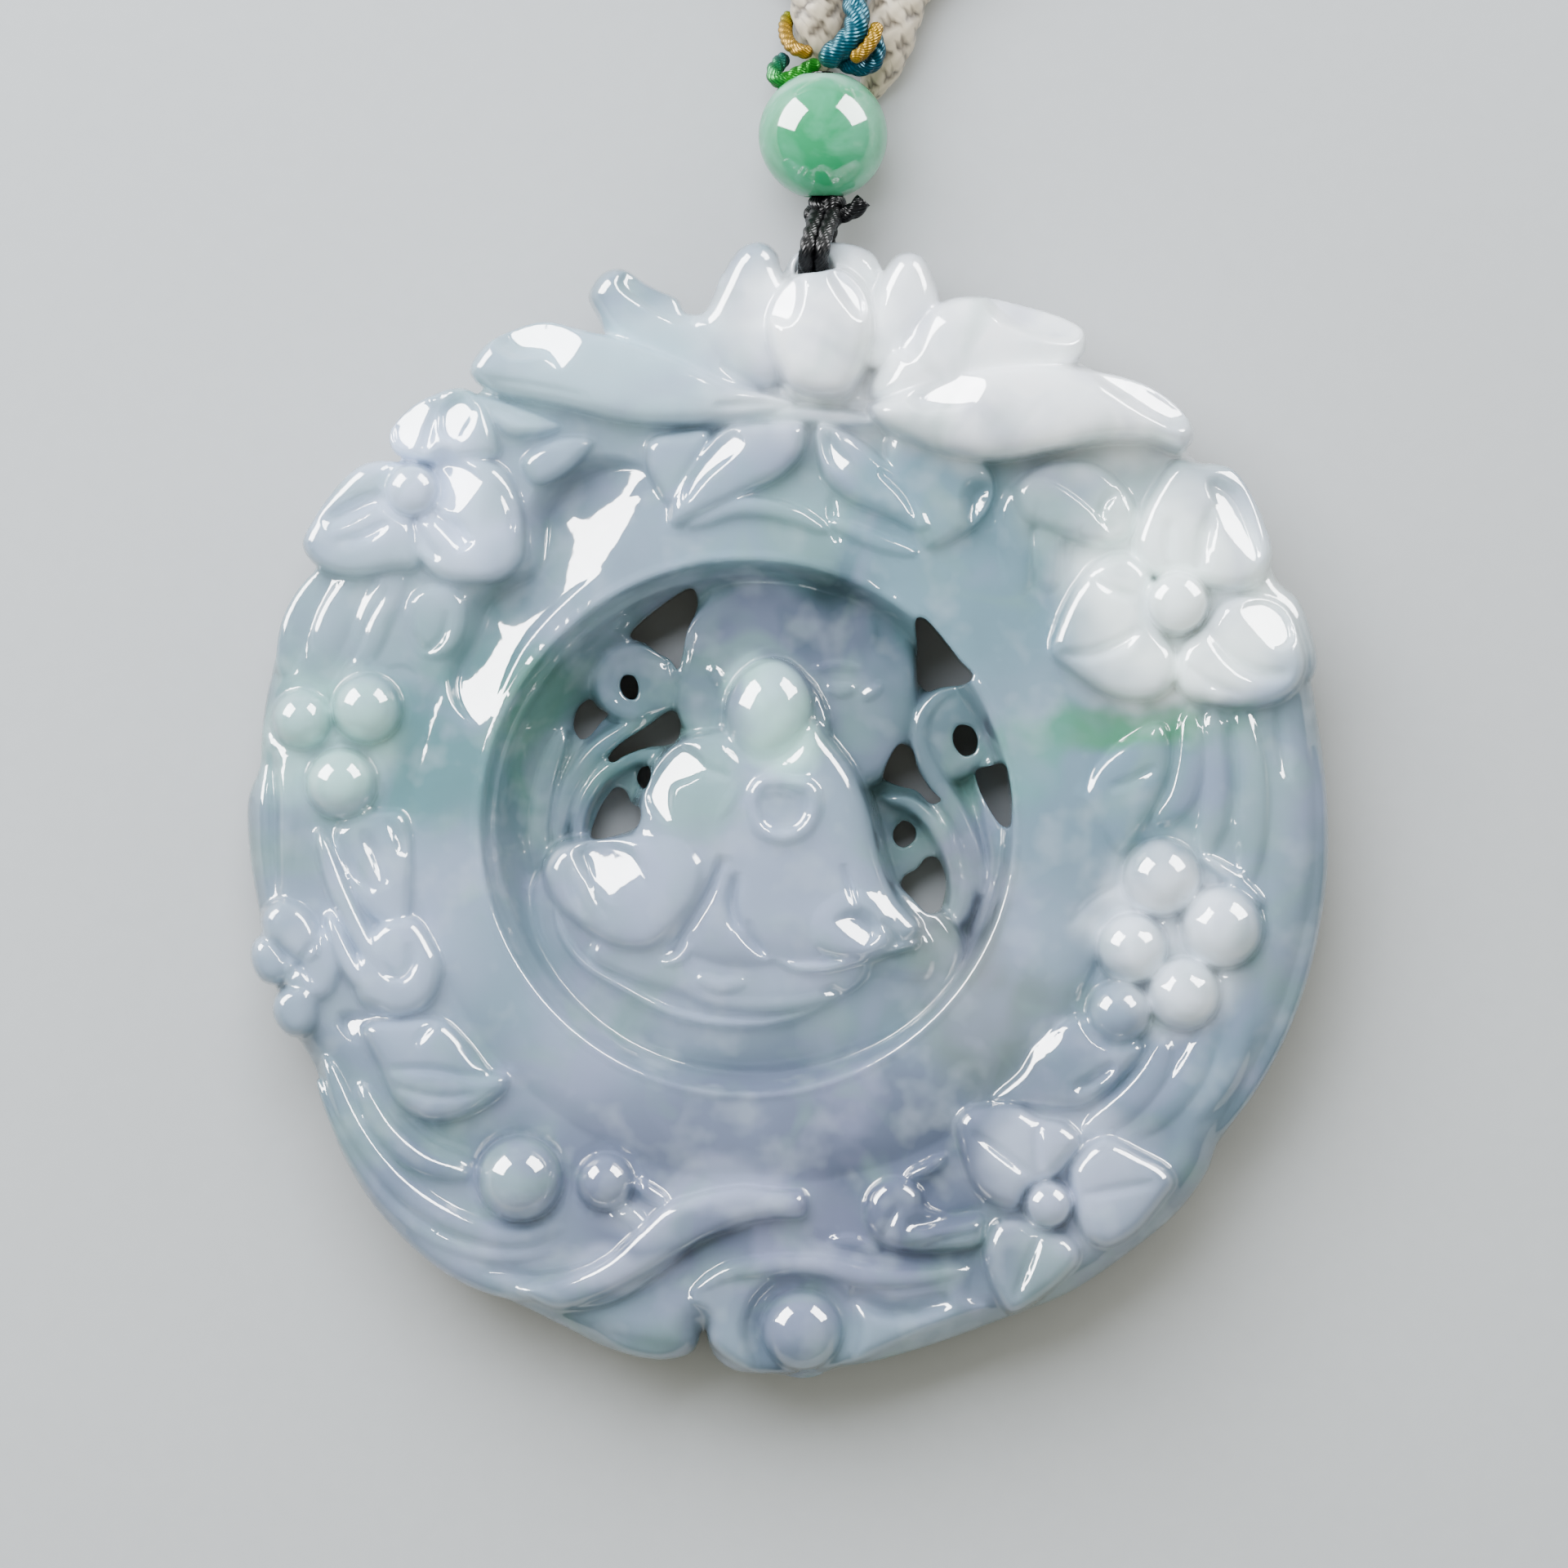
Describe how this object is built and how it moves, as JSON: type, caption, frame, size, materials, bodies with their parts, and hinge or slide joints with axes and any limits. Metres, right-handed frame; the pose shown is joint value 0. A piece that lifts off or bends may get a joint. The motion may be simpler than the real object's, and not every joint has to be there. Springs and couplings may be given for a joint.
{
  "type": "carved jade pendant",
  "caption": "Round openwork jade pendant carved with a seated hooded figure, lotus, flowers and berries, with a jade bead and a braided cord; lies flat on its back.",
  "frame": {"origin": "centre of the round plaque, on its flat back face", "axes": "+Z out of the carved face, +Y towards the lotus and the cord, +X to the right of the carved face"},
  "size_m": [0.0578, 0.1204, 0.0113],
  "materials": {
    "carved_jade": "polished, translucent pale blue-green with lavender and white",
    "bead_jade": "polished, translucent apple green",
    "black_silk": "plied, with a soft shine",
    "ivory_braid": "braided, soft",
    "teal_silk": "twisted, glossy",
    "gold_silk": "twisted, glossy, yellow, orange and green"
  },
  "bodies": {
    "root": {"jade_carving": "carved_jade", "green_bead": "bead_jade", "black_silk_loop": "black_silk", "necklace_cord_left": "ivory_braid", "necklace_cord_right": "ivory_braid", "necklace_cord_coil": "ivory_braid", "teal_cord_wrap": "teal_silk", "gold_thread_wrap": "gold_silk"}
  },
  "joints": []
}
